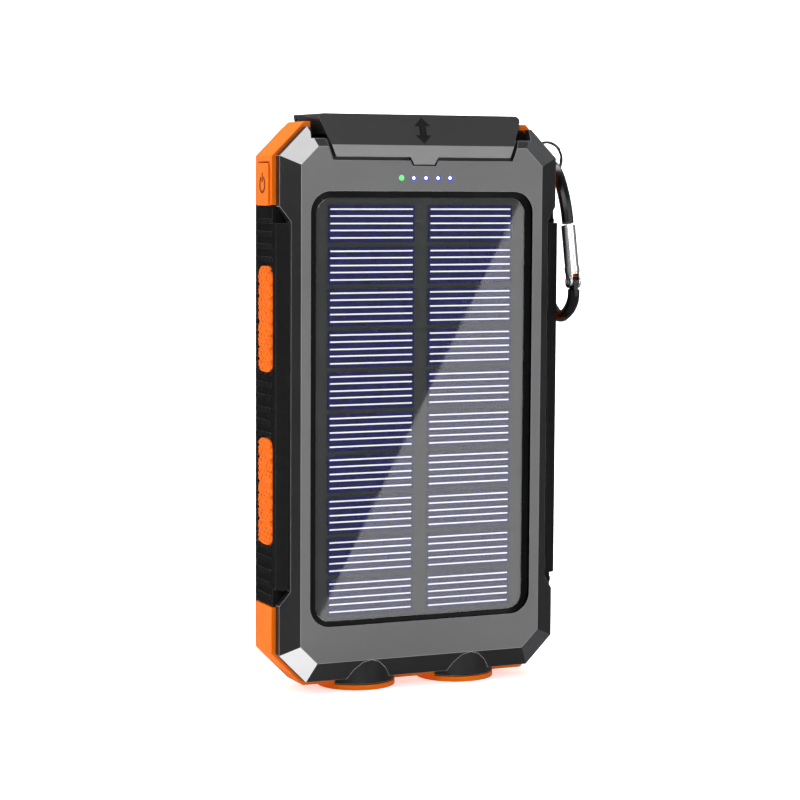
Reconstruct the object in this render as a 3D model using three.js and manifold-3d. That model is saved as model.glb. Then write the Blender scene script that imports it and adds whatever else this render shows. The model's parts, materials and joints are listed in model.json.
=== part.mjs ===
// Rugged solar phone charger with a flip-up port cap, two end torches, a compass and a carabiner.
// Millimetres. +X is the viewer's right when facing the solar panel, +Y points to the back and
// +Z is up. The charger stands on its two torch rims at Z = 0, as drawn.
import * as THREE from 'three';
import { ConvexGeometry } from 'three/addons/geometries/ConvexGeometry.js';
import { mergeVertices } from 'three/addons/utils/BufferGeometryUtils.js';
import Module from 'manifold-3d';

const wasm = await Module();
wasm.setup();

// ---- Driving dimensions -------------------------------------------------------------------
const GAP = 0.3;                 // clearance between neighbouring mouldings
const HAIR = 0.1;                // clearance between flat layers bonded together
const MID_Z = 74;                // height of the body's centre above the torch rims

// Depth of each layer, front (negative) to back (positive).
const FRONT_Y = -11;             // flat front face
const FRONT_BEVEL_Y = -9;        // end of the wide bevel round the front face
const FRONT_SPLIT_Y = -6.6;      // back edge of the front cover
const BAND_FRONT_Y = -6.3;
const BAND_BACK_Y = 4.9;
const BACK_SPLIT_Y = 5.2;        // front edge of the back cover
const BACK_BEVEL_Y = 7.9;
const BACK_Y = 9.5;              // flat back
const PAD_Y = 11;                // raised pad round the compass

// Octagonal outlines: half width, half height and 45 degree corner leg.
const FACE = { w: 34, h: 66, c: 4.65 };
const BODY = { w: 39.1, h: 71, c: 7.4 };
const BAND = { w: 40.2, h: 72.3, c: 8.8 };
const FRAME = { w: 38.4, h: 70.5, c: 8.1 };
const CORE = { w: 36.2, h: 68.3, c: 7.2 };
const BACK_FACE = { w: 35.4, h: 67.5, c: 6.5 };

// Solar panel.
const POCKET = { w: 31.4, top: 54.8, bottom: -56.7, r: 5.5, floor: -7.8 };
const GLASS = { w: 29.5, top: 53.1, bottom: -55.5, r: 4, front: -10.1, back: -9.7 };
const BOARD = { w: 30.6, top: 54.1, bottom: -56, r: 4.7, front: -9, back: -8 };
const CELLS = { inner: 2, outer: 26, top: 51.25, bottom: -54.3, front: -9.5, back: -9.15 };

// Charge indicator lights in a row above the panel.
const LIGHTS = { x: 0.45, z: 58.2, pitch: 3.42, count: 5, r: 0.75 };

// Torches: two round lamps in the lower end, looking down.
const TORCH = { x: 14.3, y: -0.7, r: 10.3, bore: 8.3, rim: -74, rimTop: -72.6 };

// Compass in the back pad.
const COMPASS = { z: 53.5, r: 10.5, cup: 10.2, depth: 6.4, card: 7.6 };

// Screws and the rubber plugs over them.
const SCREW_PLACES = [[-29.2, 62.4], [29.2, 62.4], [-28.5, -51], [28.5, -51]];
const SCREW = { shank: 1, hole: 1.3, head: 1.9, boss: 2.6, plug: 2.3 };

// Port cap and its hinge along the top back edge.
const CAP = { lipW: 24.5, lipZ: 63.5, foldZ: 66.5, topZ: 74.4, topW: 28.9, topY: -8.5, wall: 1.6 };
const HINGE = { y: 6.6, z: 72.4, barrel: 1.9, pin: 0.7, earIn: 23.9, earOut: 26.5 };
const PORT = { plateTop: 68.2, plateBottom: 66.2, y: -1.6 };
const USB_A = { x: 14, w: 13.4, t: 6, wall: 0.5, mouth: 68.5, bottom: 54.4 };
const MICRO = { x: 0, w: 8.2, t: 3.6, wall: 0.5, mouth: 68.5, bottom: 61.5 };

// Side grips, ribs and the power button.
const GRIP = { y: -1.5, w: 9.2, upper: [8.6, 35.7], lower: [-35.8, -8.3], top: 40.6, r: 2.6 };
const RIB = { pitch: 3.2, w: 1.2, proud: 0.35, end: 49.5 };
const BUTTON = { y: -0.7, z: 56.4, w: 8.4, h: 10.8, r: 1.2, top: 40.7, travel: 0.5 };

// Lanyard hardware at the upper right corner.
const PIN = { x: 38, z: 63.9, r: 0.9, half: 4 };
const RING = { x: 40.9, z: 63.3, r: 4.6, wire: 0.5 };
const HOOK = { x: 42.7, z: 59.07, lean: 12, rod: 1.6, gate: 1.9, line: 6.5, rivet: 30 };
const SIDE_OVERHANG = 5.3;       // how much further the ring reaches right than the button left
const FRONT_OVERHANG = 3.5;      // how far the leaning carabiner reaches past the front face

// ---- Finishes -----------------------------------------------------------------------------
const finish = (color, roughness, metalness = 0) =>
  new THREE.MeshStandardMaterial({ color, roughness, metalness });
const FINISH = {
  cover: finish(0x5a5a5a, 0.42),
  capPlastic: finish(0x3c3c3c, 0.4),
  backPlastic: finish(0x262628, 0.5),
  rubber: finish(0x141414, 0.75),
  orange: finish(0xee7510, 0.5),
  glass: finish(0x30323a, 0.08),
  boardBlack: finish(0x2f302e, 0.6),
  cell: finish(0x101048, 0.3),
  clear: finish(0xe8eef2, 0.08),
  chrome: finish(0xd8d8d8, 0.15, 1),
  steel: finish(0xa8a8a8, 0.3, 1),
  gloss: finish(0x0a0a0a, 0.15),
  green: finish(0x1f6a3a, 0.5),
  foil: finish(0xb8bcc0, 0.35, 0.6),
  white: finish(0xf0f0ea, 0.4),
  brass: finish(0xb58a3a, 0.3, 1),
};

// ---- Solid helpers ------------------------------------------------------------------------
/** A closed three.js geometry as a solid that can be joined and cut. */
function solid(geometry) {
  const bare = geometry.index ? geometry.toNonIndexed() : geometry.clone();
  bare.deleteAttribute('normal');
  bare.deleteAttribute('uv');
  const merged = mergeVertices(bare, 1e-5);
  const make = (triVerts) => new wasm.Manifold(new wasm.Mesh({
    numProp: 3,
    vertProperties: merged.attributes.position.array,
    triVerts: Uint32Array.from(triVerts),
  }));
  const body = make(merged.index.array);
  return body.volume() > 0 ? body : make([...merged.index.array].reverse());
}

/** A solid as a named mesh. */
function piece(name, body, material) {
  const { vertProperties, triVerts } = body.getMesh();
  const geometry = new THREE.BufferGeometry();
  geometry.setAttribute('position', new THREE.BufferAttribute(vertProperties, 3));
  geometry.setIndex(new THREE.BufferAttribute(triVerts, 1));
  geometry.computeVertexNormals();
  const mesh = new THREE.Mesh(geometry, material);
  mesh.name = name;
  return mesh;
}

const join = (...bodies) => bodies.reduce((sum, body) => sum.add(body));
const cut = (body, ...tools) => tools.reduce((rest, tool) => rest.subtract(tool), body);

/** A box between two corners. */
function box([x0, y0, z0], [x1, y1, z1]) {
  const geometry = new THREE.BoxGeometry(x1 - x0, y1 - y0, z1 - z0);
  return solid(geometry.translate((x0 + x1) / 2, (y0 + y1) / 2, (z0 + z1) / 2));
}

const AXES = {
  X: new THREE.Matrix4().makeBasis(
    new THREE.Vector3(0, 1, 0), new THREE.Vector3(0, 0, 1), new THREE.Vector3(1, 0, 0)),
  Y: new THREE.Matrix4().makeBasis(
    new THREE.Vector3(1, 0, 0), new THREE.Vector3(0, 0, 1), new THREE.Vector3(0, -1, 0)),
  Z: new THREE.Matrix4(),
};

/** An outline pushed along an axis. Outlines are (Y, Z) for X, (X, Z) for Y and (X, Y) for Z. */
function extrude(shape, axis, from, to, curveSegments = 6) {
  const options = { depth: to - from, bevelEnabled: false, curveSegments };
  const geometry = new THREE.ExtrudeGeometry(shape, options);
  const start = axis === 'Y' ? -to : from;
  geometry.translate(0, 0, start);
  return solid(geometry.applyMatrix4(AXES[axis]));
}

const polygon = (points) => new THREE.Shape(points.map(([u, v]) => new THREE.Vector2(u, v)));

/** A rectangle with round corners. */
function roundRect(u0, v0, u1, v1, r) {
  const shape = new THREE.Shape();
  shape.moveTo(u0 + r, v0).lineTo(u1 - r, v0);
  shape.absarc(u1 - r, v0 + r, r, -Math.PI / 2, 0);
  shape.absarc(u1 - r, v1 - r, r, 0, Math.PI / 2);
  shape.absarc(u0 + r, v1 - r, r, Math.PI / 2, Math.PI);
  shape.absarc(u0 + r, v0 + r, r, Math.PI, Math.PI * 1.5);
  return shape;
}

/** A round bar along X, Y or Z with its axis through (u, v), in the outline's own terms. */
function rod(axis, u, v, r, from, to, sides = 24) {
  const points = [];
  for (let i = 0; i < sides; i += 1) {
    const a = (2 * Math.PI * i) / sides;
    points.push([u + r * Math.cos(a), v + r * Math.sin(a)]);
  }
  return extrude(polygon(points), axis, from, to);
}

/** A turned piece: the profile is (radius, height) pairs, the axis runs along X, Y or Z. */
function turned(profile, axis, centre, sides = 24) {
  const points = profile.map(([r, h]) => new THREE.Vector2(r, h));
  const geometry = new THREE.LatheGeometry([...points, points[0]], sides);
  geometry.rotateX(axis === 'Z' ? Math.PI / 2 : 0);
  geometry.translate(...centre);
  return solid(geometry);
}

const octagon = ({ w, h, c }) => [
  [-w, -h + c], [-w + c, -h], [w - c, -h], [w, -h + c],
  [w, h - c], [w - c, h], [-w + c, h], [-w, h - c],
];
const grow = ({ w, h, c }, d) => ({ w: w + d, h: h + d, c: c + d * (2 - Math.SQRT2) });
const octPrism = (size, from, to) => extrude(polygon(octagon(size)), 'Y', from, to);
const mirrorX = (points) => points.map(([u, v]) => [-u, v]).reverse();

/** The convex body through octagons at several depths. */
function octHull(...sections) {
  const points = sections.flatMap(([size, y]) =>
    octagon(size).map(([x, z]) => new THREE.Vector3(x, y, z)));
  return solid(new ConvexGeometry(points));
}

// ---- Shells -------------------------------------------------------------------------------
const torchRods = (r, from, to, sides = 28) => [-1, 1].map((side) =>
  rod('Z', side * TORCH.x, TORCH.y, r, from, to, sides));

/** The stretch of each side where the front cover steps in and the rubber frame shows. */
const SIDE_STEP = [
  [36.4, -47], [36.4, 47], [37.85, 49.15], [39.2, 51], [45, 51], [45, -51], [39.2, -51],
  [37.85, -49.15],
];

/** Front view outline of the cap, which flares upwards, grown by a gap on all sides. */
const capOutline = (d) => [
  [-CAP.lipW - d, CAP.lipZ - d], [CAP.lipW + d, CAP.lipZ - d],
  [CAP.topW + d, CAP.topZ + d], [-CAP.topW - d, CAP.topZ + d],
];
const tabOutline = (d) => [
  [-4 - d, CAP.lipZ + 0.2], [-2.9 - d, 61.65 - d], [2.9 + d, 61.65 - d], [4 + d, CAP.lipZ + 0.2],
];

function frontCover() {
  let body = octHull([FACE, FRONT_Y], [BODY, FRONT_BEVEL_Y], [BODY, FRONT_SPLIT_Y]);
  const slab = box([-45, FRONT_Y, -80], [45, FRONT_SPLIT_Y, 80]);
  const bulges = torchRods(TORCH.r, TORCH.rimTop + GAP, -50).map((r) => r.intersect(slab));
  body = join(body, ...bulges);
  const { w, top, bottom, r, floor } = POCKET;
  const steps = [SIDE_STEP, mirrorX(SIDE_STEP)].map((outline) =>
    extrude(polygon(outline), 'Y', FRONT_Y - 1, FRONT_SPLIT_Y + 1));
  body = cut(
    body,
    extrude(roundRect(-w, bottom, w, top, r), 'Y', FRONT_Y - 1, floor),
    ...steps,
    extrude(polygon(capOutline(0.9)), 'Y', FRONT_Y - 1, FRONT_Y + 2.1),
    box([-31, FRONT_Y - 1, 68], [31, 0, 80]),
    extrude(polygon(tabOutline(0.4)), 'Y', FRONT_Y - 1, FRONT_Y + 1.4),
    ...torchRods(TORCH.bore, -80, -56),
  );
  for (let i = 0; i < LIGHTS.count; i += 1) {
    const x = LIGHTS.x + (i - 2) * LIGHTS.pitch;
    body = cut(body, rod('Y', x, LIGHTS.z, LIGHTS.r + HAIR, FRONT_Y - 1, 0, 12));
  }
  for (const [x, z] of SCREW_PLACES) {
    const post = rod('Y', x, z, SCREW.boss, FRONT_SPLIT_Y - 0.5, BACK_SPLIT_Y, 16);
    const hole = rod('Y', x, z, SCREW.hole, FRONT_SPLIT_Y + 1, BACK_SPLIT_Y + 1, 12);
    body = cut(join(body, post), hole);
  }
  return piece('front_cover', body, FINISH.cover);
}

/** A groove with round ends along X or Z, cut into the back face. */
function backGroove(x0, z0, x1, z1, half, depth) {
  const outline = roundRect(x0 - half, z0 - half, x1 + half, z1 + half, half - 0.01);
  return extrude(outline, 'Y', BACK_Y - depth, BACK_Y + 1, 5);
}

/** Raised pad round the compass, widening towards the hinge. */
const PAD_OUTLINE = [[-17, 35.5], [17, 35.5], [20.3, 39.5], [28, 70.2], [-28, 70.2], [-20.3, 39.5]];

function backCover() {
  let body = octHull([BODY, BACK_SPLIT_Y], [BODY, BACK_BEVEL_Y], [BACK_FACE, BACK_Y]);
  const slab = box([-45, BACK_SPLIT_Y, -80], [45, 20, 80]);
  const bulges = torchRods(TORCH.r, TORCH.rimTop + GAP, -50).map((r) => r.intersect(slab));
  body = join(body, ...bulges, extrude(polygon(PAD_OUTLINE), 'Y', BACK_Y - 1, PAD_Y));
  const cavity = octPrism(grow(FRAME, -2), BACK_SPLIT_Y - 1, BACK_Y - 1.9);
  const lampWalls = torchRods(TORCH.r - 0.6, -75, -50, 20);
  const cupWall = rod('Y', 0, COMPASS.z, COMPASS.r + 1.3, 0, PAD_Y, 32);
  body = cut(body, cut(cavity, ...lampWalls, cupWall));
  body = cut(
    body,
    rod('Y', 0, COMPASS.z, COMPASS.r, 0, PAD_Y + 1, 40),
    box([-31, 0, 70.2], [31, 20, 80]),
    ...torchRods(TORCH.bore, -80, -56),
    backGroove(-30.5, -30, -30.5, 54.8, 2, 0.7),
    backGroove(30.5, -30, 30.5, 54.8, 2, 0.7),
    backGroove(-11, 28, 11, 28, 0.9, 0.8),
    backGroove(-11, -50, 11, -50, 0.9, 0.8),
  );
  for (const [x, z] of SCREW_PLACES) {
    const boss = rod('Y', x, z, SCREW.plug + 1, BACK_SPLIT_Y + GAP, BACK_Y - 1, 20);
    body = cut(
      join(body, boss),
      rod('Y', x, z, SCREW.hole, 0, BACK_Y, 12),
      rod('Y', x, z, SCREW.plug + HAIR, BACK_Y - 2.7, BACK_Y + 1, 20),
    );
  }
  for (const side of [-1, 1]) {
    const x0 = side > 0 ? HINGE.earIn + GAP : -HINGE.earOut + GAP;
    const x1 = side > 0 ? HINGE.earOut - GAP : -HINGE.earIn - GAP;
    const { y, z, barrel, pin } = HINGE;
    const stem = box([x0, BACK_SPLIT_Y, 66], [x1, y + barrel, z]);
    const ear = join(stem, rod('X', y, z, barrel, x0, x1, 20));
    body = cut(join(body, ear), rod('X', y, z, pin + HAIR, x0 - 1, x1 + 1, 16));
  }
  return piece('back_cover', body, FINISH.backPlastic);
}

/** Space swept by the split ring where it passes through the corner. */
function ringSlot() {
  const discs = [0, 15, 30, 45, 60].map((degrees) => {
    const a = THREE.MathUtils.degToRad(degrees);
    const dx = RING.x - PIN.x;
    const dz = RING.z - PIN.z;
    const x = PIN.x + dx * Math.cos(a) - dz * Math.sin(a);
    const z = PIN.z + dx * Math.sin(a) + dz * Math.cos(a);
    return rod('Y', x, z, RING.r + RING.wire + 0.5, -1.5, 1.5, 20);
  });
  return join(...discs);
}
const pinHole = () => rod('Y', PIN.x, PIN.z, PIN.r + HAIR, -PIN.half - GAP, PIN.half + GAP, 16);

function gripOutline(d, [z0, z1]) {
  const half = GRIP.w / 2 + d;
  return roundRect(GRIP.y - half, z0 - d, GRIP.y + half, z1 + d, GRIP.r + d);
}

/** Rubber frame: a band wall with ribbed sides and the port plate across its top. */
function midFrame() {
  let body = octPrism(FRAME, BAND_FRONT_Y, BAND_BACK_Y);
  for (const side of [-1, 1]) {
    const pad = polygon([[36.7, -10], [39.9, -8.6], [39.9, BAND_BACK_Y], [36.7, BAND_BACK_Y]]
      .map(([x, y]) => [side * x, y]));
    const strip = extrude(pad, 'Z', -46.6, 46.6);
    const outer = side > 0 ? [37.5, 39.9] : [-39.9, -37.5];
    const ends = box([outer[0], BAND_FRONT_Y, -51], [outer[1], BAND_BACK_Y, 50.8]);
    body = join(body, strip, ends);
    for (let z = -RIB.end; z <= RIB.end; z += RIB.pitch) {
      const [x0, x1] = side > 0 ? [39.5, 39.9 + RIB.proud] : [-39.9 - RIB.proud, -39.5];
      const rib = box([x0, BAND_FRONT_Y + 0.2, z], [x1, BAND_BACK_Y - 0.2, z + RIB.w]);
      body = join(body, rib);
    }
    for (const span of [GRIP.upper, GRIP.lower]) {
      const [x0, x1] = side > 0 ? [38.6, 45] : [-45, -38.6];
      body = cut(body, extrude(gripOutline(GAP, span), 'X', x0, x1, 5));
    }
  }
  const plate = box([-36, BAND_FRONT_Y, PORT.plateBottom], [36, BAND_BACK_Y, 69]);
  const socketGap = (x, w, t) => box(
    [x - w / 2 - GAP, PORT.y - t / 2 - GAP, 60], [x + w / 2 + GAP, PORT.y + t / 2 + GAP, 80]);
  body = join(cut(body, octPrism(CORE, -20, 20)), plate.intersect(octPrism(FRAME, -20, 20)));
  body = cut(
    body,
    box([-29.4, -20, PORT.plateTop], [29.4, 20, 80]),
    socketGap(-USB_A.x, USB_A.w, USB_A.t),
    socketGap(USB_A.x, USB_A.w, USB_A.t),
    socketGap(MICRO.x, MICRO.w, MICRO.t),
    box([-TORCH.x - TORCH.r, -20, -80], [TORCH.x + TORCH.r, 20, -66]),
    box([-45, BUTTON.y - 1.8, BUTTON.z - 1.8], [-30, BUTTON.y + 1.8, BUTTON.z + 1.8]),
    ...SCREW_PLACES.map(([x, z]) => rod('Y', x, z, SCREW.boss + GAP, -20, 20, 16)),
  );
  const lug = box([33, -PIN.half - 0.9, 59.5], [38.4, PIN.half + 0.9, 66.6])
    .intersect(octPrism(FRAME, -20, 20));
  body = cut(join(body, lug), ringSlot(), pinHole());
  return piece('mid_frame', body, FINISH.rubber);
}

/** The orange band's wall, all the way round. */
const bandRing = () => cut(
  octPrism(BAND, BAND_FRONT_Y, BAND_BACK_Y), octPrism(grow(FRAME, GAP), -20, 20));

function cornerBands() {
  const ring = bandRing();
  const left = ring.intersect(box([-45, -20, 51.2], [-29.7, 20, 80]));
  const right = ring.intersect(box([29.7, -20, 51.2], [45, 20, 80]));
  const window = extrude(buttonOutline(GAP), 'X', -45, -30, 4);
  return [
    piece('corner_band_left', cut(left, window), FINISH.orange),
    piece('corner_band_right', cut(right, ringSlot(), pinHole()), FINISH.orange),
  ];
}

/** Orange band round the lower end, with a full ring under each torch. */
function baseBand() {
  const lower = bandRing().intersect(box([-45, -20, -80], [45, 20, -51.4]));
  const rims = torchRods(TORCH.r, TORCH.rim, -71.5);
  const aboveRims = cut(
    box([-45, -20, TORCH.rimTop], [45, 20, -70]),
    box([-45, BAND_FRONT_Y, -80], [45, BAND_BACK_Y, -60]));
  const body = cut(
    join(lower, ...rims.map((rim) => cut(rim, aboveRims))),
    octPrism(grow(FRAME, GAP), -20, 20),
    ...torchRods(TORCH.bore - 0.3, -80, -60));
  return piece('base_band', body, FINISH.orange);
}

function sideGrips() {
  const places = { upper: GRIP.upper, lower: GRIP.lower };
  return [-1, 1].flatMap((side) => Object.entries(places).map(([level, span]) => {
    const [x0, x1] = side > 0 ? [38.9, GRIP.top - 0.5] : [-GRIP.top + 0.5, -38.9];
    const [crown0, crown1] = side > 0 ? [39.8, GRIP.top] : [-GRIP.top, -39.8];
    const body = join(
      extrude(gripOutline(0, span), 'X', x0, x1, 5),
      extrude(gripOutline(-0.7, span), 'X', crown0, crown1, 5));
    return piece(`grip_${side < 0 ? 'left' : 'right'}_${level}`, body, FINISH.orange);
  }));
}

function buttonOutline(d) {
  const { y, z, w, h, r } = BUTTON;
  return roundRect(y - w / 2 - d, z - h / 2 - d, y + w / 2 + d, z + h / 2 + d, r + d);
}

function powerButton() {
  const { y, z, top, travel } = BUTTON;
  const cap = extrude(buttonOutline(0), 'X', -top, -39.3, 4);
  const stem = box([-39.6, y - 1.4, z - 1.4], [-35.4 - travel, y + 1.4, z + 1.4]);
  return piece('power_button', join(cap, stem), FINISH.orange);
}

// ---- Port cap -----------------------------------------------------------------------------
/** Side view of the cap, (Y, Z): lip, slope, flat top and the barrel round the hinge pin. */
function capProfile() {
  const { y, z, barrel } = HINGE;
  const points = [
    [FRONT_Y, CAP.lipZ], [FRONT_Y, CAP.foldZ], [CAP.topY, CAP.topZ], [y, z + barrel]];
  for (let i = 1; i <= 12; i += 1) {
    const a = Math.PI / 2 - (i * Math.PI) / 12;
    points.push([y + barrel * Math.cos(a), z + barrel * Math.sin(a)]);
  }
  const { wall } = CAP;
  points.push(
    [y - 2.1, z - 1.6], [y - 2.6, 69], [CAP.topY - 0.6, 69],
    [FRONT_Y + wall, CAP.foldZ - 0.2], [FRONT_Y + wall, CAP.lipZ]);
  return polygon(points.reverse());
}

function portCap() {
  const { y, z, pin, earIn, earOut } = HINGE;
  const flare = extrude(polygon(capOutline(0)), 'Y', -20, 20);
  const tab = extrude(polygon(tabOutline(0)), 'Y', FRONT_Y, FRONT_Y + 1);
  const filled = join(extrude(capProfile(), 'X', -40, 40).intersect(flare), tab);
  const hollow = extrude(
    polygon([[-9.4, 60], [4, 60], [4, 72.8], [-7.4, 72.8], [-9.4, 66]]), 'X', -26.8, 26.8);
  const topCut = extrude(polygon([[-9.4, 60], [4, 60], [4, 69], [-7, 69]]), 'X', -40, 40);
  let body = cut(
    filled, hollow, topCut,
    rod('X', y, z, pin + HAIR, -40, 40, 16),
    box([earIn, y - 2.4, 60], [earOut, 20, 80]),
    box([-earOut, y - 2.4, 60], [-earIn, 20, 80]),
  );
  const arrow = [[-0.9, 68.9], [-0.9, 71.4], [-1.9, 71.4], [0, 73.2], [1.9, 71.4], [0.9, 71.4],
    [0.9, 68.9], [1.9, 68.9], [0, 67.1], [-1.9, 68.9]];
  const groove = extrude(polygon([...arrow].reverse()), 'Y', -20, 0);
  const slope = polygon([
    [FRONT_Y, CAP.foldZ], [CAP.topY, CAP.topZ], [-20, CAP.topZ], [-20, CAP.foldZ],
  ].map(([u, v]) => [u + 0.25, v]));
  body = cut(body, groove.intersect(extrude(slope, 'X', -5, 5)));
  return piece('port_cap', body, FINISH.capPlastic);
}

function capParts() {
  const seal = extrude(roundRect(-24, -7, 24, 3.4, 2), 'Z', 71.4, 72.6, 4);
  const ribs = [-USB_A.x, MICRO.x, USB_A.x].map((x) =>
    box([x - 3.4, PORT.y - 1.2, 70.2], [x + 3.4, PORT.y + 1.2, 71.6]));
  const pin = rod('X', HINGE.y, HINGE.z, HINGE.pin, -28, 28, 16);
  return [
    portCap(),
    piece('cap_seal', join(seal, ...ribs), FINISH.rubber),
    piece('hinge_pin', pin, FINISH.steel),
  ];
}

// ---- Solar panel and indicator lights -----------------------------------------------------
function solarPanel() {
  const layer = ({ w, top, bottom, r, front, back }) =>
    extrude(roundRect(-w, bottom, w, top, r), 'Y', front, back);
  const { inner, outer, top, bottom, front, back } = CELLS;
  return [
    piece('solar_glass', layer(GLASS), FINISH.glass),
    piece('solar_board', layer(BOARD), FINISH.boardBlack),
    piece('solar_cells_left', box([-outer, front, bottom], [-inner, back, top]), FINISH.cell),
    piece('solar_cells_right', box([inner, front, bottom], [outer, back, top]), FINISH.cell),
  ];
}

/** One clear moulding: a bar behind the cover with a pip for each charge light. */
function lightGuide() {
  const { x, z, pitch, count, r } = LIGHTS;
  const reach = ((count - 1) / 2) * pitch + 1.4;
  let body = box([x - reach, FRONT_SPLIT_Y + GAP, z - 1.5], [x + reach, -5.1, z + 1.5]);
  for (let i = 0; i < count; i += 1) {
    const place = x + (i - (count - 1) / 2) * pitch;
    body = join(body, rod('Y', place, z, r - HAIR, FRONT_Y + 0.05, -6, 12));
  }
  return piece('light_guide', body, FINISH.clear);
}

// ---- Electronics --------------------------------------------------------------------------
function socket(name, { x, w, t, wall, mouth, bottom }) {
  const outer = box([x - w / 2, PORT.y - t / 2, bottom], [x + w / 2, PORT.y + t / 2, mouth]);
  const inside = box(
    [x - w / 2 + wall, PORT.y - t / 2 + wall, bottom + wall],
    [x + w / 2 - wall, PORT.y + t / 2 - wall, mouth + 1]);
  return piece(name, cut(outer, inside), FINISH.chrome);
}

function tongue(name, { x, w, t, wall, mouth, bottom }, thick, setback) {
  const halfW = w / 2 - wall - HAIR;
  const halfT = t / 2 - wall - HAIR;
  const base = bottom + wall + HAIR;
  const block = box([x - halfW, PORT.y - halfT, base], [x + halfW, PORT.y + halfT, base + 1.5]);
  const blade = box(
    [x - halfW + 0.6, PORT.y + halfT - thick - 0.3, base + 1],
    [x + halfW - 0.6, PORT.y + halfT - 0.3, mouth - setback]);
  return piece(name, join(block, blade), FINISH.white);
}

function electronics() {
  const cell = (x0, x1) => extrude(roundRect(x0, -44, x1, 37, 1.5), 'Y', -5.8, 3.8, 3);
  const switchX = -34.8;           // the plunger stands 0.4 mm further left
  const { y, z } = BUTTON;
  return [
    socket('usb_a_socket_left', { ...USB_A, x: -USB_A.x }),
    socket('usb_a_socket_right', USB_A),
    socket('micro_usb_socket', MICRO),
    tongue('usb_a_tongue_left', { ...USB_A, x: -USB_A.x }, 1.8, 1.6),
    tongue('usb_a_tongue_right', USB_A, 1.8, 1.6),
    tongue('micro_usb_tongue', MICRO, 0.6, 1),
    piece('main_board', box([-34, 1.5, 40], [34, 3.1, 59]), FINISH.green),
    piece('power_switch', join(
      box([switchX, y - 2, z - 2.4], [switchX + 3.4, 1.2, z + 2.4]),
      rod('X', y, z, 0.9, switchX - 0.4, switchX + 1, 12)), FINISH.steel),
    piece('battery_left', cell(-32.5, -0.5), FINISH.foil),
    piece('battery_right', cell(0.5, 32.5), FINISH.foil),
  ];
}

// ---- Torches ------------------------------------------------------------------------------
/** One lamp, with its profiles as (radius, Z). */
function torch(side) {
  const name = side < 0 ? 'left' : 'right';
  const centre = [side * TORCH.x, TORCH.y, 0];
  const lens = [[0, -73.1], [4, -73.05], [7.7, -72.5], [7.7, -71.6], [0, -71.6]];
  const cup = [[2.6, -59.6], [4.6, -62.6], [6.4, -67], [7.2, -71.3], [7.9, -71.3], [7.9, -70.6],
    [7.4, -66.6], [5.5, -61.6], [4, -58.8], [2.6, -58.8]];
  const lamp = [[0, -60.6], [1, -60.4], [1.7, -59.6], [1.9, -58.6], [1.9, -58.1], [0, -58.1]];
  const board = rod('Z', centre[0], centre[1], 7.4, -58, -56.8, 24);
  return [
    piece(`torch_lens_${name}`, turned(lens, 'Z', centre, 28), FINISH.clear),
    piece(`torch_reflector_${name}`, turned(cup, 'Z', centre, 28), FINISH.chrome),
    piece(`torch_led_${name}`, turned(lamp, 'Z', centre, 16), FINISH.white),
    piece(`torch_board_${name}`, board, FINISH.white),
  ];
}

// ---- Compass ------------------------------------------------------------------------------
/** The compass, with its profiles as (radius, Y). */
function compass() {
  const centre = [0, 0, COMPASS.z];
  const back = PAD_Y;
  const base = back - COMPASS.depth + 1;
  const r = COMPASS.cup;
  const cup = [[0, base], [r, base], [r, back], [r - 1.1, back], [r - 1.4, back - 1.5],
    [r - 2.2, back - 1.5], [r - 2.2, base + 0.8], [0, base + 0.8]];
  const card = [[0.6, base + 2], [COMPASS.card, base + 2], [COMPASS.card, base + 2.5],
    [0.6, base + 2.5]];
  const pivot = [[0, base + 0.9], [1.2, base + 0.9], [1.2, base + 1.7], [0.5, base + 1.7],
    [0.5, base + 3.1], [0, base + 3.4]];
  const lens = [[0, back - 1.3], [r - 1.6, back - 1.3], [r - 1.6, back - 0.7], [5, back - 0.3],
    [0, back - 0.15]];
  return [
    piece('compass_cup', turned(cup, 'Y', centre, 36), FINISH.gloss),
    piece('compass_card', turned(card, 'Y', centre, 28), FINISH.gloss),
    piece('compass_pivot', turned(pivot, 'Y', centre, 14), FINISH.brass),
    piece('compass_lens', turned(lens, 'Y', centre, 32), FINISH.clear),
  ];
}

// ---- Screws and plugs ---------------------------------------------------------------------
function fasteners() {
  const corners = ['upper_left', 'upper_right', 'lower_left', 'lower_right'];
  return SCREW_PLACES.flatMap(([x, z], i) => {
    const head = rod('Y', x, z, SCREW.head, BACK_Y - 2.5, BACK_Y - 1.3, 14);
    const shank = rod('Y', x, z, SCREW.shank, -3, BACK_Y - 2, 12);
    const plug = rod('Y', x, z, SCREW.plug - HAIR, BACK_Y - 1.1, BACK_Y - 0.05, 20);
    return [
      piece(`screw_${corners[i]}`, join(head, shank), FINISH.steel),
      piece(`screw_plug_${corners[i]}`, plug, FINISH.rubber),
    ];
  });
}

// ---- Lanyard pin, split ring and carabiner ------------------------------------------------
function splitRing() {
  const { r, wire } = RING;
  const section = [];
  for (let i = 0; i < 8; i += 1) {
    const a = (Math.PI * (i + 0.5)) / 4;
    section.push([r + wire * Math.cos(a), 0.75 * Math.sin(a)]);
  }
  return piece('split_ring', turned(section, 'Y', [RING.x, 0, RING.z], 36), FINISH.chrome);
}

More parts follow.
